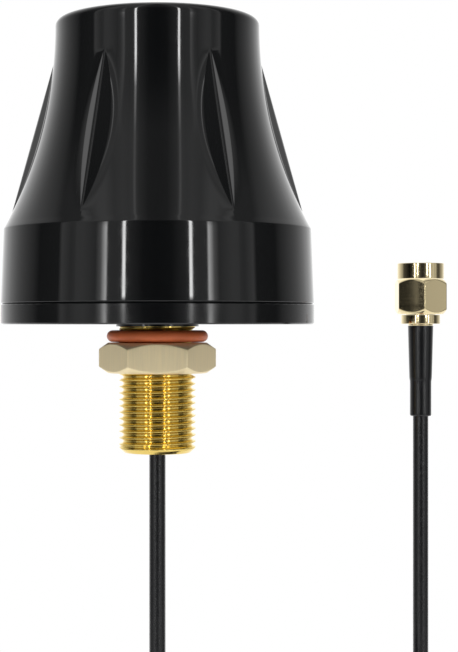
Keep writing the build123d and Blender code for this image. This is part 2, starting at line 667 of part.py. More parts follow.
def plug_pin():
    """Centre contact: pointed pin in front, solder pot behind."""
    pin = turned(
        (0, INSULATOR_LOW), (PIN_RADIUS, INSULATOR_LOW), (PIN_RADIUS, PIN_TOP - PIN_POINT),
        (PIN_RADIUS / 3, PIN_TOP), (0, PIN_TOP),
    )
    pin += rod(PIN_POT_RADIUS, PIN_POT_LOW, INSULATOR_LOW)
    return pin - rod(CONDUCTOR_RADIUS, PIN_POT_LOW, INSULATOR_LOW)


def crimp_ferrule():
    """Sleeve crimped over the braid on the body's post."""
    return pipe(FERRULE_RADIUS, CRIMP_BRAID_RADIUS, COLLAR_LOW - FERRULE_LENGTH, COLLAR_LOW)


def plug_end():
    """Stripped end in the plug: braid over the post, insulation and conductor inside it."""
    braid = pipe(CRIMP_BRAID_RADIUS, CRIMP_POST_RADIUS, COLLAR_LOW - CRIMP_POST_LENGTH, COLLAR_LOW)
    braid += pipe(CRIMP_BRAID_RADIUS, DIELECTRIC_RADIUS, JACKET_TOP, COLLAR_LOW - CRIMP_POST_LENGTH)
    insulation = rod(DIELECTRIC_RADIUS, JACKET_TOP, PIN_POT_LOW)
    return braid, insulation, rod(CONDUCTOR_RADIUS, PIN_POT_LOW, INSULATOR_LOW)


def heat_shrink():
    """Sleeve shrunk over the ferrule, stepping down onto the lead below it."""
    low = COLLAR_LOW - SLEEVE_LENGTH
    step = COLLAR_LOW - SLEEVE_STEP
    sleeve = turned(
        (0, COLLAR_LOW), (FERRULE_RADIUS + SLEEVE_TOP_WALL, COLLAR_LOW),
        (FERRULE_RADIUS + SLEEVE_STEP_WALL, step),
        (SLEEVE_TAIL_RADIUS, step - SLEEVE_SLOPE), (SLEEVE_TAIL_RADIUS, low + SLEEVE_END_ROUND),
        (SLEEVE_TAIL_RADIUS - SLEEVE_END_ROUND, low), (0, low),
    )
    sleeve -= rod(FERRULE_RADIUS, COLLAR_LOW - FERRULE_LENGTH, COLLAR_LOW)
    sleeve -= rod(CRIMP_BRAID_RADIUS, JACKET_TOP, COLLAR_LOW)
    return sleeve - rod(LEAD_RADIUS, low, JACKET_TOP)


# ---------------------------------------------------------------- write every sub-part

save("radome", radome())
save("base_plate", base_plate())
save("base_seal", base_seal())
save("case_screws", case_screws())
save("threaded_stud", threaded_stud())
save("bore_grommet", bore_grommet())
save("hex_nut", hex_nut())
save("o_ring", o_ring())
save("lna_board", lna_board())
save("board_screws", board_screws())
save("adhesive_pad", adhesive_pad())
save("ceramic_patch", ceramic_patch())
save("patch_electrode", patch_electrode())
save("feed_pin", feed_pin())
save("shield_can", shield_can())
board_parts()

inner_braid, inner_insulation, inner_wire = inner_ends()
plug_braid, plug_insulation, plug_wire = plug_end()
save("lead_inside", lead_inside())
save("solder_joints", solder_joints())
save("lead_braid_ends", Compound([inner_braid, AT_PLUG * plug_braid]))
save("lead_insulation_ends", Compound([inner_insulation, AT_PLUG * plug_insulation]))
save("lead_conductor_ends", Compound([inner_wire, AT_PLUG * plug_wire]))

antenna_strand = strand(0, 0, STUD_END)
plug_strand = strand(PLUG_X, PLUG_Y, JACKET_TOP)
save("lead_antenna_side", antenna_strand)
save("lead_plug_side", plug_strand)
save("lead_coil", lead_coil((antenna_strand, plug_strand)))
save("coil_ties", coil_ties())

save("heat_shrink", AT_PLUG * heat_shrink())
save("crimp_ferrule", AT_PLUG * crimp_ferrule())
save("plug_body", AT_PLUG * plug_body())
save("coupling_nut", AT_PLUG * coupling_nut())
save("snap_ring", AT_PLUG * snap_ring())
save("plug_gasket", AT_PLUG * plug_gasket())
save("plug_insulator", AT_PLUG * plug_insulator())
save("plug_pin", AT_PLUG * plug_pin())

turn_length = 2 * pi * COIL_RADIUS
print("coil turn", round(turn_length, 1), "mm, lead bend radius inside", LEAD_BEND, "mm")
print(len(written), "sub-parts written")
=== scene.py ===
"""Looks of a screw-mount satellite navigation antenna with a hanging, coiled lead and its plug.

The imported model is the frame: every size and place below is read from it or is a named value.
"""

import json

import bmesh
import bpy
import numpy as np
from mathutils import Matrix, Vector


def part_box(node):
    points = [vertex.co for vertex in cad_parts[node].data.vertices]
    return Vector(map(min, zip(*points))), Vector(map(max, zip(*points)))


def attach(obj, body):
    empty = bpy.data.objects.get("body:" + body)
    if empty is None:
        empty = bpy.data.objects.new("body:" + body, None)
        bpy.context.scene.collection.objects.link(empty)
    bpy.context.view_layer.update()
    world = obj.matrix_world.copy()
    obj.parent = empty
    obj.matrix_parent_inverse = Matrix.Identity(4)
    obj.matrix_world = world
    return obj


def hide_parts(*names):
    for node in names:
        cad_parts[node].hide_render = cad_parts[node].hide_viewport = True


bl_info = {
    "name": "Screw-mount antenna",
    "version": (1, 0, 0),
    "blender": (4, 5, 0),
    "location": "View3D > Sidebar > Antenna",
    "description": "Builds the visible pieces of a screw-mount antenna, its lead and its plug",
    "category": "Object",
}

MM = 0.001
PI = np.pi

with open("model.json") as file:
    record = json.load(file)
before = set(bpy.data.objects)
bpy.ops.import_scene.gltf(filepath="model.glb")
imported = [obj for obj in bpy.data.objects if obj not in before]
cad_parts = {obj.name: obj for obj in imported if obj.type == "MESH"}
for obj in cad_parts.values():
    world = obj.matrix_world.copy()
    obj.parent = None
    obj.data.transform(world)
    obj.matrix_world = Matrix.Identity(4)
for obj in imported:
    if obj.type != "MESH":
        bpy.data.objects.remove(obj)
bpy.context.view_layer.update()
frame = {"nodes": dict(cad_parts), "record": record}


# ------------------------------------------------------------------ sizes read from the frame

def span(node, axis=2):
    """Lowest and highest value of a CAD node along one axis."""
    low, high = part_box(node)
    return low[axis], high[axis]


BASE_RADIUS = span("base_plate", 0)[1]
SEAM_HEIGHT, RADOME_TOP = span("radome")
NUT_LOW, NUT_TOP = span("hex_nut")
NUT_HALF_FLATS = span("hex_nut", 1)[1]
RING_LOW, RING_TOP = span("o_ring")
RING_OUTER = span("o_ring", 0)[1]
STUD_END, STUD_TOP = span("threaded_stud")
PLUG_X = sum(span("plug_pin", 0)) / 2
PLUG_Y = sum(span("plug_pin", 1)) / 2
LEAD_DIAMETER = span("lead_antenna_side", 0)[1] * 2
COIL_Z = sum(span("lead_coil")) / 2
COIL_RADIUS = PLUG_X / 2
JACKET_TOP = span("lead_plug_side")[1]
COUPLING_LOW, COUPLING_TOP = span("coupling_nut")
COUPLING_HALF_FLATS = (span("coupling_nut", 0)[1] - span("coupling_nut", 0)[0]) / 2
SLEEVE_LOW, SLEEVE_TOP = span("heat_shrink")
BODY_LOW, BODY_TOP = span("plug_body")


# ------------------------------------------------------------------ settings a user would change

class RadomeSettings(bpy.types.PropertyGroup):
    """Shape of the radome between the points that the frame fixes."""

    neck_radius: bpy.props.FloatProperty(
        name="Neck radius", description="Radius at the top", default=16.0 * MM, unit="LENGTH", precision=5)
    band_top: bpy.props.FloatProperty(
        name="Band top", description="Height where the straight band ends", default=14.8 * MM,
        unit="LENGTH", precision=5)
    band_taper: bpy.props.FloatProperty(
        name="Band taper", description="How much the band narrows", default=0.45 * MM,
        unit="LENGTH", precision=5)
    flare_sag: bpy.props.FloatProperty(
        name="Flare sag", description="Depth of the concave flare under its chord", default=1.9 * MM,
        unit="LENGTH", precision=5)
    wall: bpy.props.FloatProperty(
        name="Wall", description="Thickness of the moulded wall", default=2.0 * MM,
        unit="LENGTH", precision=5)
    fin_off_axis: bpy.props.FloatProperty(
        name="Fin angle", description="How far the front and back fins stand off the Y axis",
        default=0.49916, subtype="ANGLE")
    fin_flat: bpy.props.FloatProperty(
        name="Fin crest", description="Width of a fin's flat crest", default=0.3 * MM,
        unit="LENGTH", precision=5)
    fin_spread: bpy.props.FloatProperty(
        name="Fin spread", description="How fast a fin's sides widen with depth", default=1.6)


class ThreadSettings(bpy.types.PropertyGroup):
    """The stud's fine thread and the nut that runs on it."""

    major_radius: bpy.props.FloatProperty(
        name="Thread radius", description="Radius over the crests", default=6.0 * MM,
        unit="LENGTH", precision=5)
    pitch: bpy.props.FloatProperty(
        name="Pitch", description="Travel of one turn", default=1.0 * MM, unit="LENGTH", precision=5)
    nut_clearance: bpy.props.FloatProperty(
        name="Nut clearance", description="Gap between crests and the nut's bore", default=0.05 * MM,
        unit="LENGTH", precision=5)


class LeadSettings(bpy.types.PropertyGroup):
    """The coaxial lead and how it is wound."""

    length: bpy.props.FloatProperty(
        name="Length", description="Free length of the lead", default=2.95, unit="LENGTH")
    points_per_turn: bpy.props.IntProperty(
        name="Points per turn", description="Spline points in one turn of the coil", default=16, min=12)


class FinishSettings(bpy.types.PropertyGroup):
    """Colours of the visible finishes."""

    black: bpy.props.FloatVectorProperty(
        name="Moulding", description="Glossy black moulded plastic", subtype="COLOR",
        default=(0.0045, 0.005, 0.0055))
    jacket: bpy.props.FloatVectorProperty(
        name="Jacket", description="Black lead jacket", subtype="COLOR", default=(0.0065, 0.0068, 0.008))
    thread_brass: bpy.props.FloatVectorProperty(
        name="Stud brass", description="Golden brass of the stud", subtype="COLOR",
        default=(0.82, 0.61, 0.17))
    nut_brass: bpy.props.FloatVectorProperty(
        name="Nut brass", description="Pale brass of the nut", subtype="COLOR",
        default=(1.0, 0.85, 0.54))
    gold: bpy.props.FloatVectorProperty(
        name="Plug gold", description="Pale gold of the plug", subtype="COLOR",
        default=(0.83, 0.70, 0.42))
    silicone: bpy.props.FloatVectorProperty(
        name="Silicone", description="Orange-red sealing ring", subtype="COLOR",
        default=(0.72, 0.17, 0.055))


# ------------------------------------------------------------------ meshes from arrays

def new_object(name, vertices, faces):
    """Mesh object at the origin, smooth shaded and with its doubles merged, from vertices and faces."""
    mesh = bpy.data.meshes.new(name)
    mesh.from_pydata(vertices.tolist(), [], faces)
    body = bmesh.new()
    body.from_mesh(mesh)
    bmesh.ops.remove_doubles(body, verts=body.verts, dist=0.0001 * MM)
    body.to_mesh(mesh)
    body.free()
    mesh.polygons.foreach_set("use_smooth", np.ones(len(mesh.polygons), bool))
    mesh.update()
    piece = bpy.data.objects.new(name, mesh)
    bpy.context.scene.collection.objects.link(piece)
    return piece


def lathe(name, radius, height, turn, centre=(0, 0), closed=True, partner=None):
    """Surface whose row i, column j lies at radius[i, j], height[i, j] and angle turn[i, j].

    Rows run up the outside, inwards over the top and down the inside, so that the faces look out.
    A closed surface joins its last row to its first; an open one gets a pole at each end.
    Row i meets row partner[i] after a full turn, which is row i itself except on a helix.
    """
    rows, columns = radius.shape
    x = centre[0] + radius * np.cos(turn)
    y = centre[1] + radius * np.sin(turn)
    vertices = np.stack([x, y, height], axis=-1).reshape(-1, 3)
    index = np.arange(rows * columns).reshape(rows, columns)
    meets = np.arange(rows) if partner is None else partner
    beside = np.concatenate([index[:, 1:], index[meets, :1]], axis=1)
    above, above_beside = np.roll(index, -1, axis=0), np.roll(beside, -1, axis=0)
    quads = np.stack([index, beside, above_beside, above], axis=-1)
    if closed:
        return new_object(name, vertices, quads.reshape(-1, 4).tolist())
    quads = quads[:-1].reshape(-1, 4).tolist()
    first, last = len(vertices), len(vertices) + 1
    vertices = np.vstack([vertices, [*centre, height[0].mean()], [*centre, height[-1].mean()]])
    quads += [[first, int(b), int(a)] for a, b in zip(index[0], beside[0])]
    quads += [[last, int(a), int(b)] for a, b in zip(index[-1], beside[-1])]
    return new_object(name, vertices, quads)


def evenly(count):
    """Angles of a full turn, count of them."""
    return np.linspace(0, 2 * PI, count, endpoint=False)


def rounded(points, round_by, step=0.35 * MM, arc_points=5, closed=True):
    """Profile through (radius, height) points with each corner replaced by a small arc-like curve.

    Each corner turns along a quadratic curve that leaves its sides round_by away from the corner,
    or less where a side is short, and the straight parts are divided into steps.
    """
    points = np.array(points, float)
    rounds = np.full(len(points), round_by) if np.isscalar(round_by) else np.array(round_by, float)
    before = np.roll(points, 1, axis=0) - points
    behind = np.roll(points, -1, axis=0) - points
    reach_before = np.minimum(rounds, 0.45 * np.linalg.norm(before, axis=1))
    reach_behind = np.minimum(rounds, 0.45 * np.linalg.norm(behind, axis=1))
    if not closed:
        reach_before[[0, -1]] = 0
        reach_behind[[0, -1]] = 0
    unit = lambda v: v / np.maximum(np.linalg.norm(v, axis=1, keepdims=True), 1e-12)
    start = points + unit(before) * reach_before[:, None]
    end = points + unit(behind) * reach_behind[:, None]
    t = np.linspace(0, 1, arc_points)[:, None]
    out = []
    last = len(points) if closed else len(points) - 1
    for i in range(len(points)):
        if reach_before[i] > 0:
            out.extend((1 - t) ** 2 * start[i] + 2 * t * (1 - t) * points[i] + t ** 2 * end[i])
        else:
            out.append(points[i])
        if i < last:
            following = start[(i + 1) % len(points)]
            count = int(np.linalg.norm(following - end[i]) / step)
            inner = np.linspace(0, 1, count + 2)[1:-1, None]
            out.extend(end[i] + inner * (following - end[i]))
    return np.array(out)


def stacked(name, blocks, turn, centre=(0, 0)):
    """Closed lathe surface from blocks of rows: (radius, height, partner) sets or plain outlines."""
    radii, heights, partners = [], [], []
    start = 0
    for block in blocks:
        if isinstance(block, np.ndarray):
            block = (block[:, :1], block[:, 1:], np.arange(len(block)))
        radius, height, partner = block
        radii.append(np.broadcast_to(radius, (len(radius), len(turn))))
        heights.append(np.broadcast_to(height, (len(height), len(turn))))
        partners.append(partner + start)
        start += len(partner)
    return lathe(name, np.vstack(radii), np.vstack(heights), turn, centre,
                 partner=np.concatenate(partners))


def turned(name, points, round_by=0.12 * MM, sides=96, centre=(0, 0), step=0.35 * MM):
    """Closed turned ring whose half section is the rounded outline of (radius, height) points."""
    return stacked(name, [rounded(points, round_by, step)], evenly(sides), centre)


def soft_max(a, b, blend):
    """Larger of a and b with the crossing rounded over about the blend's size."""
    return (a + b + np.sqrt((a - b) ** 2 + blend ** 2)) / 2


def stand_for(piece, node, material, body="antenna"):
    """Let a piece take a CAD node's place, body and material slot."""
    piece.data.materials.clear()
    piece.data.materials.append(material)
    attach(piece, body)
    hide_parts(node)


def slot_of(node):
    """Material slot that the record gives a node."""
    for entry in frame["record"]["subparts"]:
        if entry["node"] == node:
            return entry["material_slot"]
    raise KeyError(node)


# ------------------------------------------------------------------ shader building

def socket(group, name, kind, direction, default=None):
    """Named socket of a node group."""
    made = group.interface.new_socket(name, in_out=direction, socket_type=kind)
    if default is not None:
        made.default_value = default
    return made


def grain_group():
    """Shared effect: fine noise, stretched by a scale vector, as a mask and as a normal."""
    name = "stretched_grain"
    if name in bpy.data.node_groups:
        return bpy.data.node_groups[name]
    group = bpy.data.node_groups.new(name, "ShaderNodeTree")
    socket(group, "Scale", "NodeSocketVector", "INPUT", (1000, 1000, 1000))
    socket(group, "Detail", "NodeSocketFloat", "INPUT", 2.0)
    socket(group, "Bump", "NodeSocketFloat", "INPUT", 0.1)
    socket(group, "Distance", "NodeSocketFloat", "INPUT", 0.00002)
    socket(group, "Mask", "NodeSocketFloat", "OUTPUT")
    socket(group, "Normal", "NodeSocketVector", "OUTPUT")
    nodes, links = group.nodes, group.links
    given = nodes.new("NodeGroupInput")
    result = nodes.new("NodeGroupOutput")
    place = nodes.new("ShaderNodeTexCoord")
    stretch = nodes.new("ShaderNodeVectorMath")
    stretch.operation = "MULTIPLY"
    noise = nodes.new("ShaderNodeTexNoise")
    noise.inputs["Scale"].default_value = 1.0
    bump = nodes.new("ShaderNodeBump")
    links.new(place.outputs["Object"], stretch.inputs[0])
    links.new(given.outputs["Scale"], stretch.inputs[1])
    links.new(stretch.outputs["Vector"], noise.inputs["Vector"])
    links.new(given.outputs["Detail"], noise.inputs["Detail"])
    links.new(noise.outputs["Fac"], bump.inputs["Height"])
    links.new(given.outputs["Bump"], bump.inputs["Strength"])
    links.new(given.outputs["Distance"], bump.inputs["Distance"])
    links.new(noise.outputs["Fac"], result.inputs["Mask"])
    links.new(bump.outputs["Normal"], result.inputs["Normal"])
    return group


def finish(name, colour, roughness, metallic=0.0, grain=(900, 900, 900), detail=2.0, bump=0.08,
           depth=0.02 * MM, rough_spread=0.06, shade=0.12, coat=0.0, specular=0.5):
    """Material with its colour and roughness varied by a stretched grain.

    Roughness runs from roughness - spread to roughness + spread, and the colour darkens by shade.
    """
    material = bpy.data.materials.new(name + "_finish")
    material.use_nodes = True
    nodes, links = material.node_tree.nodes, material.node_tree.links
    surface = nodes["Principled BSDF"]
    surface.inputs["Metallic"].default_value = metallic
    surface.inputs["Specular IOR Level"].default_value = specular
    surface.inputs["Coat Weight"].default_value = coat
    surface.inputs["Coat Roughness"].default_value = 0.03
    effect = nodes.new("ShaderNodeGroup")
    effect.node_tree = grain_group()
    effect.inputs["Scale"].default_value = grain
    effect.inputs["Detail"].default_value = detail
    effect.inputs["Bump"].default_value = bump
    effect.inputs["Distance"].default_value = depth
    tone = nodes.new("ShaderNodeMix")
    tone.data_type = "RGBA"
    tone.inputs["A"].default_value = (*[c * (1 - shade) for c in colour], 1)
    tone.inputs["B"].default_value = (*colour, 1)
    spread = nodes.new("ShaderNodeMapRange")
    spread.inputs["From Min"].default_value = 0.3
    spread.inputs["From Max"].default_value = 0.7
    spread.inputs["To Min"].default_value = max(0.02, roughness - rough_spread)
    spread.inputs["To Max"].default_value = roughness + rough_spread
    links.new(effect.outputs["Mask"], tone.inputs["Factor"])
    links.new(tone.outputs["Result"], surface.inputs["Base Color"])
    links.new(effect.outputs["Mask"], spread.inputs["Value"])
    links.new(spread.outputs["Result"], surface.inputs["Roughness"])
    links.new(effect.outputs["Normal"], surface.inputs["Normal"])
    return material


def settings():
    """The scene's four settings groups."""
    scene = bpy.context.scene
    return scene.antenna_radome, scene.antenna_thread, scene.antenna_lead, scene.antenna_finish


# ------------------------------------------------------------------ finishes

def made(name):
    """Finish of that name if it has been built; the frame's plain materials keep the bare names."""
    return bpy.data.materials.get(name + "_finish")


def radome_black():
    """Glossy injection-moulded black with a faint orange peel."""
    look = settings()[3]
    return made("radome_black") or finish(
        "radome_black", look.black, 0.05, grain=(420, 420, 420), detail=1.0, bump=0.05,
        depth=0.012 * MM, rough_spread=0.015, shade=0.1)


def base_black():
    """The same moulding, a little less polished."""
    look = settings()[3]
    return made("base_black") or finish(
        "base_black", look.black, 0.11, grain=(420, 420, 420), detail=1.0, bump=0.06,
        depth=0.012 * MM, rough_spread=0.02, shade=0.1)


def stud_brass():
    """Turned golden brass: tool marks run round the stud, so the grain is short along Z."""
    look = settings()[3]
    return made("stud_brass") or finish(
        "stud_brass", look.thread_brass, 0.14, 1.0, grain=(300, 300, 6000), bump=0.1,
        depth=0.01 * MM, rough_spread=0.05, shade=0.12)


def nut_brass():
    """Satin brass, brushed along the nut's height."""
    look = settings()[3]
    return made("nut_brass") or finish(
        "nut_brass", look.nut_brass, 0.5, 0.6, grain=(5200, 5200, 260), detail=3.0, bump=0.22,
        depth=0.012 * MM, rough_spread=0.07, shade=0.16)


def plug_gold():
    """Bright pale gold plating with faint turning marks."""
    look = settings()[3]
    return made("gold_plate") or finish(
        "gold_plate", look.gold, 0.1, 1.0, grain=(500, 500, 7000), bump=0.06,
        depth=0.008 * MM, rough_spread=0.04, shade=0.08)


def orange_silicone():
    """Matt moulded silicone with fine dust specks."""
    look = settings()[3]
    return made("orange_silicone") or finish(
        "orange_silicone", look.silicone, 0.46, grain=(1500, 1500, 1500), detail=4.0, bump=0.15,
        depth=0.02 * MM, rough_spread=0.08, shade=0.2, specular=0.4)


def lead_jacket():
    """Satin black jacket with the faint length-wise lines of extrusion."""
    look = settings()[3]
    return made("lead_jacket") or finish(
        "lead_jacket", look.jacket, 0.27, grain=(2600, 2600, 700), detail=2.0, bump=0.03,
        depth=0.006 * MM, rough_spread=0.03, shade=0.1)


def sleeve_black():
    """Heat-shrink sleeve, a little wrinkled over what it covers."""
    look = settings()[3]
    return made("sleeve_black") or finish(
        "sleeve_black", look.jacket, 0.24, grain=(700, 700, 240), detail=2.0, bump=0.06,
        depth=0.02 * MM, rough_spread=0.03, shade=0.1)


def tie_nylon():
    """Black nylon of the ties."""
    look = settings()[3]
    return made("tie_nylon") or finish(
        "tie_nylon", look.jacket, 0.38, grain=(1800, 1800, 1800), bump=0.1, depth=0.02 * MM,
        rough_spread=0.06, shade=0.2)


# Finishes of the pieces inside: colour, roughness, metallic, grain along X, Y and Z, bump, colour shade.
INNER_FINISHES = {
    "seal_rubber": ((0.02, 0.02, 0.021), 0.62, 0.0, (1600, 1600, 1600), 0.2, 0.25),
    "screw_steel": ((0.62, 0.61, 0.59), 0.3, 1.0, (2400, 2400, 700), 0.1, 0.15),
    "board_green": ((0.012, 0.09, 0.035), 0.35, 0.0, (700, 90, 700), 0.12, 0.35),
    "adhesive": ((0.62, 0.60, 0.52), 0.6, 0.0, (1200, 1200, 1200), 0.15, 0.15),
    "ceramic": ((0.66, 0.60, 0.48), 0.55, 0.0, (2600, 2600, 2600), 0.2, 0.12),
    "silver_plate": ((0.86, 0.85, 0.82), 0.32, 1.0, (1600, 240, 1600), 0.1, 0.1),
    "tin_plate": ((0.70, 0.70, 0.70), 0.36, 1.0, (900, 900, 900), 0.12, 0.15),
    "solder": ((0.60, 0.60, 0.61), 0.28, 1.0, (1500, 1500, 1500), 0.2, 0.15),
    "chip_black": ((0.02, 0.02, 0.022), 0.5, 0.0, (3200, 3200, 3200), 0.2, 0.25),
    "chip_tan": ((0.42, 0.30, 0.16), 0.5, 0.0, (3200, 3200, 3200), 0.15, 0.2),
    "braid_copper": ((0.80, 0.46, 0.30), 0.38, 1.0, (2800, 9000, 9000), 0.4, 0.4),
    "conductor_copper": ((0.90, 0.55, 0.38), 0.25, 1.0, (900, 4000, 4000), 0.1, 0.12),
    "ptfe_white": ((0.82, 0.82, 0.80), 0.42, 0.0, (1500, 1500, 1500), 0.1, 0.06),
    "ferrule_nickel": ((0.66, 0.64, 0.60), 0.26, 1.0, (500, 500, 5000), 0.1, 0.12),
    "spring_bronze": ((0.72, 0.50, 0.26), 0.26, 1.0, (500, 500, 5000), 0.1, 0.12),
}


def inner_finish(slot):
    """Material of a piece inside, by its slot; the visible finishes serve where a slot has one."""
    visible = {
        "base_black": base_black, "gold_plate": plug_gold, "orange_silicone": orange_silicone,
        "lead_jacket": lead_jacket,
    }
    if slot in visible:
        return visible[slot]()
    colour, roughness, metallic, grain, bump, shade = INNER_FINISHES[slot]
    return made(slot) or finish(slot, colour, roughness, metallic, grain, bump=bump, shade=shade)


# ------------------------------------------------------------------ radome

FLARE_ROWS = 72
LEAF_COLUMNS = 5
OPEN_COLUMNS = 6
FIN_ABOVE_BAND = 2.2 * MM
FIN_BELOW_TOP = 7.3 * MM
FIN_LOW_PROUD = 0.03 * MM
FIN_HIGH_PROUD = 0.1 * MM
FIN_BLEND = 0.05 * MM
FIN_END = 0.3 * MM
SHOULDER_RISE = 0.6 * MM
SHOULDER_STEP = 0.35 * MM
TOP_ROUND = 1.1 * MM
SEAM_CHAMFER = 0.2 * MM
CASE_BOSS_RADIUS = 2.4 * MM
CASE_BOSS_CIRCLE = 16.9 * MM


def flare_radius(height, shape):
    """Radius of the flare: a circular arc between shoulder and neck whose centre is on the air side."""
    low = np.array([BASE_RADIUS - shape.band_taper - SHOULDER_STEP, shape.band_top + SHOULDER_RISE])
    high = np.array([shape.neck_radius, RADOME_TOP - TOP_ROUND])
    run, rise = low[0] - high[0], high[1] - low[1]
    chord = np.hypot(run, rise)
    arc = (chord ** 2 / 4 + shape.flare_sag ** 2) / (2 * shape.flare_sag)
    away = arc - shape.flare_sag
    centre = (low + high) / 2 + away * np.array([rise, run]) / chord
    return centre[0] - np.sqrt(arc ** 2 - (height - centre[1]) ** 2)


def radome_outline(shape):
    """Outline from the ceiling's middle down the inside, out under the rim, up and over the outside."""
    shoulder = shape.band_top + SHOULDER_RISE
    band_radius = BASE_RADIUS - shape.band_taper
    bore = band_radius - SHOULDER_STEP - shape.wall
    neck_top = RADOME_TOP - TOP_ROUND
    ceiling = RADOME_TOP - shape.wall
    heights = np.linspace(shoulder, neck_top, FLARE_ROWS)
    flare = np.stack([flare_radius(heights, shape), heights], axis=-1)
    inner_top = [[TOP_ROUND / 4, ceiling], [shape.neck_radius - shape.wall - TOP_ROUND, ceiling]]
    inside = flare[::-4] - [shape.wall, 0]
    foot = rounded(
        [[bore, shoulder], [bore, SEAM_HEIGHT], [BASE_RADIUS - SEAM_CHAMFER, SEAM_HEIGHT],
         [BASE_RADIUS, SEAM_HEIGHT + SEAM_CHAMFER], [band_radius, shape.band_top],
         [band_radius - SHOULDER_STEP, shoulder]],
        0.1 * MM, 1.2 * MM, closed=False)
    bend = np.linspace(0, PI / 2, 9)[1:]
    edge = np.stack([shape.neck_radius - TOP_ROUND + TOP_ROUND * np.cos(bend),
                     neck_top + TOP_ROUND * np.sin(bend)], axis=-1)
    flat = np.linspace(shape.neck_radius - TOP_ROUND, TOP_ROUND / 4, 9)[1:]
    top = np.stack([flat, np.full(len(flat), RADOME_TOP)], axis=-1)
    below = len(inner_top) + len(inside) + len(foot)
    outline = np.vstack([inner_top, inside, foot, flare[1:], edge, top])
    return outline, np.arange(len(outline)) >= below


def radome_mesh(shape):
    """Bell with fins: each fin is a wedge under a straight crest, whose cut at a height z is the line
    r = (rc + f / 2k) / (cos a + |sin a| / k), no further out than the crest's flat r = rc / cos a.

    rc is the crest's radius at z, f its width, k how fast the wedge widens and a the angle from it.
    """
    outline, outer = radome_outline(shape)
    height = outline[:, 1:]
    fin_low = shape.band_top + FIN_ABOVE_BAND
    fin_high = RADOME_TOP - FIN_BELOW_TOP
    low_radius = flare_radius(fin_low, shape) + FIN_LOW_PROUD
    high_radius = flare_radius(fin_high, shape) + FIN_HIGH_PROUD
    lean = (low_radius - high_radius) / (fin_high - fin_low)
    crest = low_radius - lean * (np.clip(height, fin_low, fin_high) - fin_low)
    widen = shape.fin_spread / np.hypot(1, lean)
    skin = flare_radius(np.clip(height, fin_low, fin_high), shape)

    half_flat = shape.fin_flat / 2
    crest_edge = half_flat / crest
    leaf_edge = (half_flat + widen * np.maximum(crest - skin, FIN_LOW_PROUD)) / skin
    leaf_edge = np.maximum(leaf_edge * 1.03, crest_edge * 1.5)
    to_leaf = np.hstack([np.linspace(0, 0.94, LEAF_COLUMNS + 1)[1:], 1])
    to_middle = np.linspace(0, 1, OPEN_COLUMNS + 1)[1:]

    def flank(half_gap):
        return np.hstack([
            0 * crest, crest_edge, crest_edge + (leaf_edge - crest_edge) * to_leaf,
            leaf_edge + (half_gap - leaf_edge) * to_middle])

    off = shape.fin_off_axis
    fins = np.array([0, PI / 2 - off, PI / 2 + off, PI, 1.5 * PI - off, 1.5 * PI + off])
    half_gaps = (np.roll(fins, -1) - fins) % (2 * PI) / 2
    turns, aways = [], []
    for fin, before, after in zip(fins, np.roll(half_gaps, 1), half_gaps):
        behind, ahead = flank(before)[:, :0:-1], flank(after)[:, :-1]
        turns += [fin - behind, fin + ahead]
        aways += [behind, ahead]
    turn, away = np.hstack(turns), np.hstack(aways)

    wedge = (crest + half_flat / widen) / (np.cos(away) + np.sin(away) / widen)
    wedge = np.minimum(wedge, crest / np.cos(away))
    inside_ends = np.minimum(height - fin_low, fin_high - height) / FIN_END
    fade = np.clip(inside_ends + 1, 0, 1) * outer[:, None]
    body = outline[:, :1]
    radius = body + fade * (soft_max(body, wedge, FIN_BLEND) - body)
    return lathe("bell_cover", radius, np.broadcast_to(height, radius.shape), turn, closed=False)


def case_bosses(shape):
    """Four hollow posts for the case screws; past the flare's wall their outside follows it."""
    hole = 1.1 * MM
    post_top = RADOME_TOP - 7.6 * MM
    hole_top = 10.4 * MM
    posts = []
    for corner in range(4):
        outline = rounded(
            [[hole, SEAM_HEIGHT], [CASE_BOSS_RADIUS, SEAM_HEIGHT], [CASE_BOSS_RADIUS, post_top],
             [hole / 9, post_top], [hole / 9, hole_top], [hole, hole_top]], 0.1 * MM, 1.0 * MM)
        turn = evenly(32)
        middle = CASE_BOSS_CIRCLE * np.array([np.cos(corner * PI / 2), np.sin(corner * PI / 2)])
        post = stacked("case_boss_%d" % (corner + 1), [outline], turn, middle)
        place = np.empty(len(post.data.vertices) * 3)
        post.data.vertices.foreach_get("co", place)
        place = place.reshape(-1, 3)
        reach = np.hypot(place[:, 0], place[:, 1])
        heights = np.maximum(place[:, 2], shape.band_top + SHOULDER_RISE)
        limit = flare_radius(heights, shape) - shape.wall / 2
        place[:, :2] *= np.minimum(1, limit / reach)[:, None]
        post.data.vertices.foreach_set("co", place.ravel())
        posts.append(post)
    return posts


# ------------------------------------------------------------------ thread, nut and ring

THREAD_ROWS = 16
CREST_WIDTH = 1 / 8
FLANK_WIDTH = 5 / 16
NUT_CHAMFER_ANGLE = np.radians(35)
COUPLING_CHAMFER_ANGLE = np.radians(45)
EDGE = 0.05 * MM
TURNED_CORNER = 0.994
THREAD_DEPTH = 0.61
THREAD_RUN_OUT = 0.6


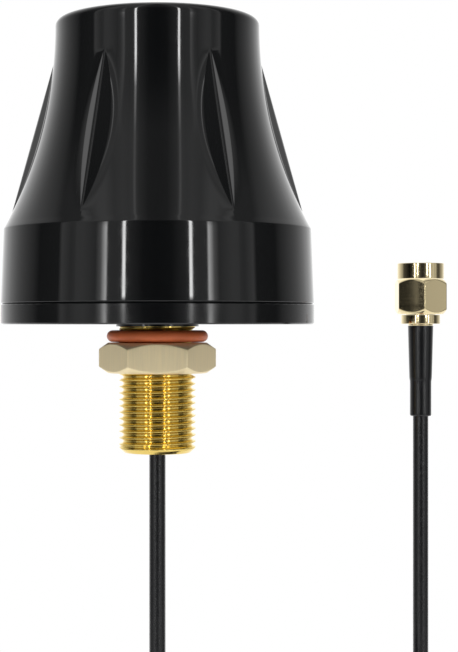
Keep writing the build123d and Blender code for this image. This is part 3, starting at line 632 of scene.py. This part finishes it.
def helix_rows(low, high, major, depth, pitch, turn, run_out):
    """Rows of a right-handed thread between two heights, each row climbing one pitch in a turn.

    radius = major - depth * cut * fade: cut is 0 on the crest, rises evenly down the flank and is 1
    on the root, and fade falls to 0 over run_out at both ends. Rows past an end are laid on it.
    """
    count = int(np.ceil((high - low) / pitch)) + 1
    phase = np.arange(count * THREAD_ROWS + 1) / THREAD_ROWS - 1
    from_crest = np.abs((phase + 0.5) % 1 - 0.5)
    cut = np.clip((from_crest - CREST_WIDTH / 2) / FLANK_WIDTH, 0, 1)
    height = np.clip(low + pitch * (phase[:, None] + turn / (2 * PI)), low, high)
    fade = np.clip(np.minimum(height - low, high - height) / run_out, 0, 1)
    partner = np.minimum(np.arange(len(phase)) + THREAD_ROWS, len(phase) - 1)
    return major - depth * cut[:, None] * fade, height, partner


def downwards(rows):
    """The same rows in the other order, for a surface that is walked from the top down."""
    radius, height, partner = rows
    return radius[::-1], height[::-1], len(partner) - 1 - partner[::-1]


def hexagon_turn():
    """Angles of a full turn from a corner, closer together near each of the six corners."""
    offsets = np.radians([0, 0.45, 0.9, 2, 5, 10, 15, 20, 25, 30, 35, 40, 45, 50, 55, 58, 59.1, 59.55])
    return (np.arange(6)[:, None] * PI / 3 + offsets).ravel()


def hexagon_rows(half_flats, face_radius, low, high, turn, slope, first_corner=0.0):
    """Outside of a chamfered hexagon, r = half_flats / cos(angle from the nearest flat's middle), cut
    off at the corners by a narrow turned land, between cones that leave both faces at the slope.
    """
    from_flat = (turn - first_corner) % (PI / 3) - PI / 6
    corner = half_flats / np.cos(PI / 6)
    side = np.minimum(half_flats / np.cos(from_flat), corner * TURNED_CORNER)
    run = [EDGE * np.cos(slope), EDGE * np.sin(slope)]
    drop = (side - face_radius) * np.tan(slope)
    flat = np.ones_like(side)
    end = np.stack([(face_radius - EDGE) * flat, (face_radius + run[0]) * flat, side - run[0], side, side])
    rise = np.stack([0 * flat, run[1] * flat, drop - run[1], drop + EDGE, drop + 4 * EDGE])
    middle = np.linspace(0.3, 0.7, 3)[:, None] * (high - low) + low
    all_round = (3, len(turn))
    radius = np.vstack([end, np.broadcast_to(side, all_round), end[::-1]])
    height = np.vstack([low + rise, np.broadcast_to(middle, all_round), high - rise[::-1]])
    return radius, height, np.arange(len(radius))


def stud_mesh(thread):
    """Threaded tube with its flange inside the base, the bore and a plain chamfered lower end."""
    turn = evenly(120)
    major = thread.major_radius
    bore, boss_drop, chamfer = 3.4 * MM, 0.35 * MM, 0.8 * MM
    flange_low, flange_high, flange_radius, flange_flat = 2.6 * MM, 3.75 * MM, 9.0 * MM, 7.5 * MM
    thread_low = STUD_END + chamfer
    thread_rows = helix_rows(thread_low, -boss_drop, major, THREAD_DEPTH * thread.pitch, thread.pitch,
                             turn, THREAD_RUN_OUT * thread.pitch)
    flange = np.minimum(flange_radius, flange_flat / np.maximum(np.abs(np.cos(turn)), 0.1))
    flange_rows = (np.stack([flange, flange]),
                   np.array([[flange_low], [flange_high]]), np.arange(2))
    lower = rounded([[major, -boss_drop], [major, flange_low]], 0, closed=False)
    upper = rounded(
        [[major, flange_high], [major, STUD_TOP], [bore, STUD_TOP], [bore, STUD_END],
         [major - chamfer, STUD_END], [major, thread_low]], 0.12 * MM, 0.6 * MM, closed=False)
    return stacked("threaded_tube", [thread_rows, lower, flange_rows, upper], turn)


def nut_mesh(thread):
    """Chamfered hexagon nut with lead-in cones and its thread cut inside."""
    turn = hexagon_turn()
    bore = thread.major_radius + thread.nut_clearance
    cone, face_step = 0.45 * MM, 0.25 * MM
    outside = hexagon_rows(NUT_HALF_FLATS, NUT_HALF_FLATS - face_step, NUT_LOW, NUT_TOP, turn,
                           NUT_CHAMFER_ANGLE)
    top = rounded([[bore + cone, NUT_TOP], [bore, NUT_TOP - cone]], 0, 0.2 * MM, closed=False)
    inside = downwards(helix_rows(NUT_LOW + cone, NUT_TOP - cone, bore, -0.35 * thread.pitch,
                                  thread.pitch, turn, 0.5 * thread.pitch))
    bottom = rounded([[bore, NUT_LOW + cone], [bore + cone, NUT_LOW]], 0, 0.2 * MM, closed=False)
    return stacked("sealing_nut", [outside, top, inside, bottom], turn)


def ring_mesh():
    """Torus with a faint parting line round its outside: the section's radius grows by a narrow hump."""
    section = (RING_TOP - RING_LOW) / 2
    middle = RING_OUTER - section
    around_section = evenly(48)
    hump_height, hump_width = 0.012 * MM, 0.08
    hump = hump_height * np.exp(-(np.sin(around_section) / hump_width) ** 2)
    size = section - hump_height + hump * (np.cos(around_section) > 0)
    outline = np.stack([middle + size * np.cos(around_section),
                        (RING_LOW + RING_TOP) / 2 + size * np.sin(around_section)], axis=-1)
    return stacked("sealing_ring", [outline], evenly(128))


# ------------------------------------------------------------------ lead, ties and plug

STRAND_END = COIL_Z + 6.0 * MM
COIL_LAYERS = (1, 3, 4, 5, 4, 3, 1)
COIL_TURNS = 20.5
CROSSING_BEFORE = 0.15
CROSSING_LENGTH = 0.15
TIE_WIDTH = 2.5 * MM
TIE_THICKNESS = 0.95 * MM
TIE_HEAD_SIZES = (4 * MM, 4 * MM, 2.2 * MM)
TIE_HEAD_BEVEL = 0.3 * MM
TIE_HEAD_OUT = 1.2 * MM
BUNDLE_HALF_WIDTH = 2.5


def coil_slots():
    """Places of the turns in the bundle's section, as (sideways, outwards): layers side by side,
    walked there and back so that each turn lies beside the one before it.
    """
    slots = []
    for layer, count in enumerate(COIL_LAYERS):
        outwards = (np.arange(count) - (count - 1) / 2) * LEAD_DIAMETER
        if layer % 2 == 0:
            outwards = outwards[::-1]
        sideways = PLUG_Y * layer / (len(COIL_LAYERS) - 1)
        slots += [(sideways, outward) for outward in outwards]
    return np.array(slots)


def lead_points(points_per_turn):
    """Control points of the lead: down from the stud, round the coil and up to the plug.

    A turn's points stand on a polygon whose sides touch the turn's circle at their middles. Shortly
    before each full turn the lead crosses to the next place in the bundle along a smooth step.
    """
    half_step = PI / points_per_turn
    turns = (np.arange(int(COIL_TURNS * points_per_turn)) + 0.5) / points_per_turn
    slots = coil_slots()
    whole = np.floor(turns + CROSSING_BEFORE + CROSSING_LENGTH / 2)
    step = np.clip((turns + CROSSING_BEFORE - whole) / CROSSING_LENGTH + 0.5, 0, 1)
    share = step ** 2 * (3 - 2 * step)
    now = slots[np.minimum(whole, len(slots) - 1).astype(int)]
    earlier = slots[np.maximum(whole - 1, 0).astype(int)]
    place = earlier + share[:, None] * (now - earlier)
    angle = PI + 2 * PI * turns
    reach = (COIL_RADIUS + place[:, 1]) / np.cos(half_step)
    coil = np.stack([COIL_RADIUS + reach * np.cos(angle), place[:, 0],
                     COIL_Z + reach * np.sin(angle)], axis=-1)
    down = [(0, 0, STUD_END), (0, 0, -0.045), (0, 0, -0.065), (0, 0, STRAND_END)]
    up = [(PLUG_X, PLUG_Y, STRAND_END), (PLUG_X, PLUG_Y, -0.055), (PLUG_X, PLUG_Y, -0.03),
          (PLUG_X, PLUG_Y, JACKET_TOP)]
    return np.vstack([down, coil, up])


def lead_curve(points_per_turn):
    """Round smooth curve through the lead's control points."""
    curve = bpy.data.curves.new("lead", "CURVE")
    curve.dimensions = "3D"
    spline = curve.splines.new("NURBS")
    points = lead_points(points_per_turn)
    spline.points.add(len(points) - 1)
    spline.points.foreach_set("co", np.hstack([points, np.ones((len(points), 1))]).ravel())
    spline.order_u = 3
    spline.use_endpoint_u = True
    curve.resolution_u = 4
    curve.bevel_depth = LEAD_DIAMETER / 2
    curve.bevel_resolution = 4
    curve.use_fill_caps = True
    lead = bpy.data.objects.new("coaxial_lead", curve)
    bpy.context.scene.collection.objects.link(lead)
    return lead


def tie_mesh(name, angle):
    """Flat band drawn tight round the bundle at an angle round the coil.

    For each direction n round the section the band touches the turn furthest that way, so its line
    is that turn's middle + (lead radius + height over it) * n, for the band's inner and outer face.
    """
    slots = coil_slots() - [PLUG_Y / 2, 0]
    turn = evenly(96)
    facing = np.stack([np.cos(turn), np.sin(turn)], axis=-1)
    touched = slots[np.argmax(facing @ slots.T, axis=1)]
    corner = 0.15 * MM
    section = rounded(
        [[0, -TIE_WIDTH / 2], [TIE_THICKNESS, -TIE_WIDTH / 2], [TIE_THICKNESS, TIE_WIDTH / 2],
         [0, TIE_WIDTH / 2]], corner, TIE_WIDTH)
    over = LEAD_DIAMETER / 2 + section[:, :1, None]
    line = touched[None] + over * facing[None]
    outward = np.array([np.cos(angle), 0, np.sin(angle)])
    onward = np.array([-np.sin(angle), 0, np.cos(angle)])
    centre = np.array([COIL_RADIUS, PLUG_Y / 2, COIL_Z]) + COIL_RADIUS * outward
    vertices = (centre + line[..., :1] * np.array([0, 1, 0]) + line[..., 1:] * outward
                + section[:, 1, None, None] * onward)
    index = np.arange(vertices[..., 0].size).reshape(vertices.shape[:2])
    after = np.roll(index, -1, axis=1)
    quads = np.stack([index, after, np.roll(after, -1, axis=0), np.roll(index, -1, axis=0)], axis=-1)
    band = new_object(name, vertices.reshape(-1, 3), quads.reshape(-1, 4).tolist())
    outwards(band)
    return band


def outwards(piece):
    """Turn a closed piece's faces to look outwards."""
    body = bmesh.new()
    body.from_mesh(piece.data)
    bmesh.ops.recalc_face_normals(body, faces=body.faces)
    body.to_mesh(piece.data)
    body.free()


def block(name, centre, sizes, bevel):
    """Rectangular block with rounded edges."""
    signs = np.array([[i, j, k] for i in (-1, 1) for j in (-1, 1) for k in (-1, 1)])
    vertices = np.array(centre) + signs * np.array(sizes) / 2
    faces = [[0, 1, 3, 2], [4, 6, 7, 5], [0, 4, 5, 1], [2, 3, 7, 6], [0, 2, 6, 4], [1, 5, 7, 3]]
    piece = new_object(name, vertices, faces)
    outwards(piece)
    rounding = piece.modifiers.new("edges", "BEVEL")
    rounding.width = bevel
    rounding.segments = 3
    rounding.harden_normals = True
    return piece


def coupling_mesh():
    """Turning nut of the plug: hexagon with an edge facing -Y, plain collar above, threaded inside."""
    hex_top, thread_low = 7.5 * MM, 4.4 * MM
    collar, thread_bore, shank_bore, pitch = 3.85 * MM, 2.85 * MM, 2.55 * MM, 25.4 * MM / 36
    groove_radius, groove_low, groove_high = 2.99 * MM, 2.7 * MM, 3.5 * MM
    mouth, lead_in = 3.15 * MM, 0.3 * MM
    first_corner = PI / 6
    turn = hexagon_turn() + first_corner
    face = COUPLING_HALF_FLATS - 0.22 * MM
    outside = hexagon_rows(COUPLING_HALF_FLATS, face, COUPLING_LOW, hex_top, turn,
                           COUPLING_CHAMFER_ANGLE, first_corner)
    top = rounded([[face - 2 * EDGE, hex_top], [collar, hex_top], [collar, COUPLING_TOP],
                   [mouth, COUPLING_TOP], [thread_bore, COUPLING_TOP - lead_in]],
                  0.12 * MM, 0.5 * MM, closed=False)
    inside = downwards(helix_rows(thread_low, COUPLING_TOP - lead_in, thread_bore, -0.3 * MM, pitch,
                                  turn, pitch / 2))
    bottom = rounded(
        [[thread_bore, thread_low], [shank_bore, thread_low], [shank_bore, groove_high],
         [groove_radius, groove_high], [groove_radius, groove_low], [shank_bore, groove_low],
         [shank_bore, COUPLING_LOW], [face - 2 * EDGE, COUPLING_LOW]], 0.06 * MM, 0.6 * MM,
        closed=False)
    return stacked("coupling_ring", [outside, top, inside, bottom], turn, (PLUG_X, PLUG_Y))


def plug_body_mesh():
    """Turned plug body: crimp post, collar, flange, shank with the snap ring's groove and barrel."""
    collar_low, flange_low, flange_high = BODY_LOW + 6.8 * MM, 0.03 * MM, 1.53 * MM
    shank, groove, barrel = 2.45 * MM, 2.07 * MM, 2.275 * MM
    outline = [
        [0.78, BODY_LOW / MM], [1.05, BODY_LOW / MM], [1.05, collar_low / MM],
        [2.06, collar_low / MM], [2.06, flange_low / MM], [3.22, flange_low / MM],
        [3.22, flange_high / MM], [shank / MM, flange_high / MM], [shank / MM, 2.75], [groove / MM, 2.75],
        [groove / MM, 3.45], [shank / MM, 3.45], [shank / MM, 5.2], [barrel / MM, 5.2],
        [barrel / MM, 7.1], [2.175, BODY_TOP / MM], [2.05, BODY_TOP / MM], [2.05, 1.6], [0.72, 1.6],
        [0.72, 0.5], [0.78, 0.5],
    ]
    return turned("plug_shell", np.array(outline) * MM, 0.09 * MM, 96, (PLUG_X, PLUG_Y))


def sleeve_mesh():
    """Shrunk sleeve: straight over the ferrule, stepping down softly onto the lead."""
    step, slope = SLEEVE_TOP - 8.75 * MM, 0.5 * MM
    lead = LEAD_DIAMETER / 2
    outline = [
        [lead, SLEEVE_LOW], [1.76 * MM, SLEEVE_LOW], [1.76 * MM, step - slope],
        [1.86 * MM, step], [2.09 * MM, SLEEVE_TOP], [1.75 * MM, SLEEVE_TOP],
        [1.75 * MM, step + slope], [1.35 * MM, step + slope], [1.35 * MM, JACKET_TOP],
        [lead, JACKET_TOP],
    ]
    rounds = np.array([0.05, 0.3, 0.5, 0.6, 0.12, 0.05, 0.05, 0.05, 0.05, 0.05]) * MM
    return turned("shrunk_sleeve", outline, rounds, 96, (PLUG_X, PLUG_Y))


# ------------------------------------------------------------------ operators

class AddRadome(bpy.types.Operator):
    """Bell-shaped cover with fins, and the screw bosses inside it"""
    bl_idname = "antenna.add_radome"
    bl_label = "Radome"

    def execute(self, context):
        shape = settings()[0]
        cover = radome_mesh(shape)
        stand_for(cover, "radome", radome_black())
        for post in case_bosses(shape):
            post.data.materials.append(radome_black())
            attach(post, "antenna")
        return {"FINISHED"}


class AddStud(bpy.types.Operator):
    """Threaded stud"""
    bl_idname = "antenna.add_stud"
    bl_label = "Stud"

    def execute(self, context):
        stand_for(stud_mesh(settings()[1]), "threaded_stud", stud_brass())
        return {"FINISHED"}


class AddNutAndRing(bpy.types.Operator):
    """Hexagon nut and the sealing ring on it"""
    bl_idname = "antenna.add_nut"
    bl_label = "Nut and sealing ring"

    def execute(self, context):
        stand_for(nut_mesh(settings()[1]), "hex_nut", nut_brass(), "hex_nut_body")
        stand_for(ring_mesh(), "o_ring", orange_silicone(), "o_ring_body")
        return {"FINISHED"}


# The plug's inner pieces keep their CAD shape. The plug stays out of the cover's mirror reflections.
PLUG_PIECES = ("shrunk_sleeve", "plug_shell", "coupling_ring")
PLUG_NODES = ("crimp_ferrule", "snap_ring", "plug_gasket", "plug_insulator", "plug_pin")


class AddPlug(bpy.types.Operator):
    """Plug body, its turning nut and the shrunk sleeve behind it"""
    bl_idname = "antenna.add_plug"
    bl_label = "Plug"

    def execute(self, context):
        stand_for(coupling_mesh(), "coupling_nut", plug_gold(), "coupling_nut_body")
        stand_for(plug_body_mesh(), "plug_body", plug_gold())
        stand_for(sleeve_mesh(), "heat_shrink", sleeve_black())
        for name in PLUG_PIECES + PLUG_NODES:
            bpy.data.objects[name].visible_glossy = False
        return {"FINISHED"}


class AddInside(bpy.types.Operator):
    """Finishes of the pieces that the frame already has in the right shape"""
    bl_idname = "antenna.add_inside"
    bl_label = "Inner pieces"

    def execute(self, context):
        for node, part in frame["nodes"].items():
            if part.hide_render:
                continue
            material = inner_finish(slot_of(node))
            for place in part.material_slots:
                place.material = material
        return {"FINISHED"}


class AddLead(bpy.types.Operator):
    """Coaxial lead with its coil and ties"""
    bl_idname = "antenna.add_lead"
    bl_label = "Lead"

    def execute(self, context):
        hanging = settings()[2]
        lead = lead_curve(hanging.points_per_turn)
        lead.data.materials.append(lead_jacket())
        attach(lead, "antenna")
        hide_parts("lead_antenna_side", "lead_coil", "lead_plug_side")
        on_lead = [bpy.data.objects[name] for name in PLUG_PIECES]
        on_lead += [frame["nodes"][node] for node in PLUG_NODES]
        for index, angle in enumerate((PI / 2, -PI / 2)):
            band = tie_mesh("tie_band_%d" % (index + 1), angle)
            reach = COIL_RADIUS + BUNDLE_HALF_WIDTH * LEAD_DIAMETER + TIE_HEAD_OUT
            head_at = [COIL_RADIUS, PLUG_Y / 2, COIL_Z + np.sin(angle) * reach]
            head = block("tie_head_%d" % (index + 1), head_at, TIE_HEAD_SIZES, TIE_HEAD_BEVEL)
            for piece in (band, head):
                piece.data.materials.append(tie_nylon())
                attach(piece, "antenna")
                on_lead.append(piece)
            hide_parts("coil_ties")
        return {"FINISHED"}


# The studio by the angle from the viewer in degrees: its wide glow, inner strip and outer strip.
ROUND_THE_OBJECT = (
    (0, 0.02, 0, 0), (10, 0.04, 0, 0), (20, 0.22, 0, 0), (22.6, 0.4, 0, 0), (23.2, 0.5, 1, 0),
    (24.8, 0.5, 1, 0), (25.4, 0.4, 0, 0), (30, 0.34, 0, 0), (36.2, 0.38, 0, 0), (37, 0.38, 0, 1),
    (38.2, 0.36, 0, 0.7), (41, 0.34, 0, 0.12), (45, 0.3, 0, 0), (54, 0.5, 0, 0), (60, 0.48, 0, 0),
    (67, 0.3, 0, 0), (73, 0.55, 0, 0), (76, 0.1, 0, 0), (95, 0.06, 0, 0), (102, 0.2, 0, 0),
    (120, 0.42, 0, 0), (140, 0.75, 0, 0), (165, 1, 0, 0), (180, 1, 0, 0),
)
# And by the height over the horizon in degrees: fill light and where both strips reach.
OVER_THE_HORIZON = (
    (-90, 0.8, 0, 0), (-35, 0.8, 0, 0), (-22, 0, 0, 0), (-8, 0, 0, 0.2), (-3, 0, 0, 1),
    (0.5, 0, 0.15, 1), (3, 0, 1, 1), (9, 0, 1, 1), (13, 0, 1, 0.12), (21, 0, 1, 0.1),
    (28, 0.03, 0.15, 0.06), (38, 0.15, 0.03, 0), (90, 0.15, 0, 0),
)
GLOW = 1.25
INNER_STRIP = 17.0
OUTER_STRIP = 8.0
FLOOR_DROP = 0.033
FLOOR_RADIUS = 0.26
FLOOR_THICKNESS = 0.002
FLOOR_GLOW = 0.55
VIEWER_AWAY = 0.255
VIEWER_HEIGHT = 0.0003


class AddStage(bpy.types.Operator):
    """Camera, studio light and pale floor"""
    bl_idname = "antenna.add_stage"
    bl_label = "Stage"

    def execute(self, context):
        scene = context.scene
        view = bpy.data.cameras.new("camera")
        camera = bpy.data.objects.new("camera", view)
        scene.collection.objects.link(camera)
        scene.camera = camera
        camera.location = (0, -VIEWER_AWAY, VIEWER_HEIGHT)
        camera.rotation_euler = (PI / 2, 0, 0)
        view.sensor_width = 36
        view.lens = 89.7
        view.shift_x = 0.1098
        view.shift_y = -0.0058
        scene.view_settings.view_transform = "Standard"

        level = COIL_Z - FLOOR_DROP
        rim = (2, 64)
        height = np.broadcast_to([[level - FLOOR_THICKNESS], [level]], rim)
        floor = lathe("floor", np.full(rim, FLOOR_RADIUS), height, evenly(64), (COIL_RADIUS, 0),
                      closed=False)
        pale = finish("floor", (0.8, 0.8, 0.8), 0.6, shade=0.02, bump=0.02)
        glowing = pale.node_tree.nodes["Principled BSDF"]
        glowing.inputs["Emission Color"].default_value = (1, 1, 1, 1)
        glowing.inputs["Emission Strength"].default_value = FLOOR_GLOW
        floor.data.materials.append(pale)
        studio_light(scene)
        return {"FINISHED"}


def studio_light(scene):
    """World with a dark front, two pairs of upright strip lights and bright sides; the viewer sees white.

    Light from a direction = glow + fill + inner strip * its reach + outer strip * its reach.
    """
    world = bpy.data.worlds.new("studio")
    scene.world = world
    world.use_nodes = True
    nodes, links = world.node_tree.nodes, world.node_tree.links

    def calculate(operation, first, second=0.0):
        node = nodes.new("ShaderNodeMath")
        node.operation = operation
        for entry, value in zip(node.inputs, (first, second)):
            if isinstance(value, (int, float)):
                entry.default_value = value
            else:
                links.new(value, entry)
        return node.outputs["Value"]

    def ramp(position, table, lowest, highest):
        node = nodes.new("ShaderNodeValToRGB")
        links.new(position, node.inputs["Fac"])
        stops = node.color_ramp.elements
        for degrees, *levels in table[1:-1]:
            stops.new((degrees - lowest) / (highest - lowest)).color = (*levels, 1)
        stops[0].color = (*table[0][1:], 1)
        stops[-1].color = (*table[-1][1:], 1)
        parts = nodes.new("ShaderNodeSeparateColor")
        links.new(node.outputs["Color"], parts.inputs["Color"])
        return parts.outputs["Red"], parts.outputs["Green"], parts.outputs["Blue"]

    place = nodes.new("ShaderNodeTexCoord")
    split = nodes.new("ShaderNodeSeparateXYZ")
    links.new(place.outputs["Generated"], split.inputs["Vector"])
    towards_viewer = calculate("MULTIPLY", split.outputs["Y"], -1.0)
    angle = calculate("ABSOLUTE", calculate("ARCTAN2", split.outputs["X"], towards_viewer))
    glow, inner, outer = ramp(calculate("DIVIDE", angle, PI), ROUND_THE_OBJECT, 0, 180)
    over = calculate("ARCSINE", split.outputs["Z"])
    height = calculate("ADD", calculate("DIVIDE", over, PI), 0.5)
    fill, inner_reach, outer_reach = ramp(height, OVER_THE_HORIZON, -90, 90)
    light = calculate("ADD", calculate("MULTIPLY", glow, GLOW), fill)
    strip = calculate("MULTIPLY", calculate("MULTIPLY", inner, inner_reach), INNER_STRIP)
    light = calculate("ADD", light, strip)
    strip = calculate("MULTIPLY", calculate("MULTIPLY", outer, outer_reach), OUTER_STRIP)
    light = calculate("ADD", light, strip)

    path = nodes.new("ShaderNodeLightPath")
    mix = nodes.new("ShaderNodeMix")
    mix.data_type = "FLOAT"
    mix.inputs["B"].default_value = 1.0
    links.new(path.outputs["Is Camera Ray"], mix.inputs["Factor"])
    links.new(light, mix.inputs["A"])
    background = nodes["Background"]
    background.inputs["Color"].default_value = (1, 1, 1, 1)
    links.new(mix.outputs["Result"], background.inputs["Strength"])


class AntennaPanel(bpy.types.Panel):
    """Buttons and sizes of the antenna"""
    bl_idname = "VIEW3D_PT_antenna"
    bl_label = "Antenna"
    bl_space_type = "VIEW_3D"
    bl_region_type = "UI"
    bl_category = "Antenna"

    def draw(self, context):
        for group in settings():
            for entry in group.bl_rna.properties:
                if entry.identifier not in ("rna_type", "name"):
                    self.layout.prop(group, entry.identifier)
        for operator in OPERATORS:
            self.layout.operator(operator.bl_idname)


OPERATORS = (AddStage, AddRadome, AddStud, AddNutAndRing, AddPlug, AddLead, AddInside)
GROUPS = {
    "antenna_radome": RadomeSettings, "antenna_thread": ThreadSettings,
    "antenna_lead": LeadSettings, "antenna_finish": FinishSettings,
}


def register():
    """Register the settings, operators and panel."""
    for name, group in GROUPS.items():
        bpy.utils.register_class(group)
        setattr(bpy.types.Scene, name, bpy.props.PointerProperty(type=group))
    for operator in OPERATORS:
        bpy.utils.register_class(operator)
    bpy.utils.register_class(AntennaPanel)


def unregister():
    """Undo register."""
    bpy.utils.unregister_class(AntennaPanel)
    for operator in reversed(OPERATORS):
        bpy.utils.unregister_class(operator)
    for name, group in GROUPS.items():
        delattr(bpy.types.Scene, name)
        bpy.utils.unregister_class(group)


def main():
    """Build every piece."""
    register()
    bpy.ops.antenna.add_stage()
    bpy.ops.antenna.add_radome()
    bpy.ops.antenna.add_stud()
    bpy.ops.antenna.add_nut()
    bpy.ops.antenna.add_plug()
    bpy.ops.antenna.add_lead()
    bpy.ops.antenna.add_inside()


if __name__ == "__main__":
    main()
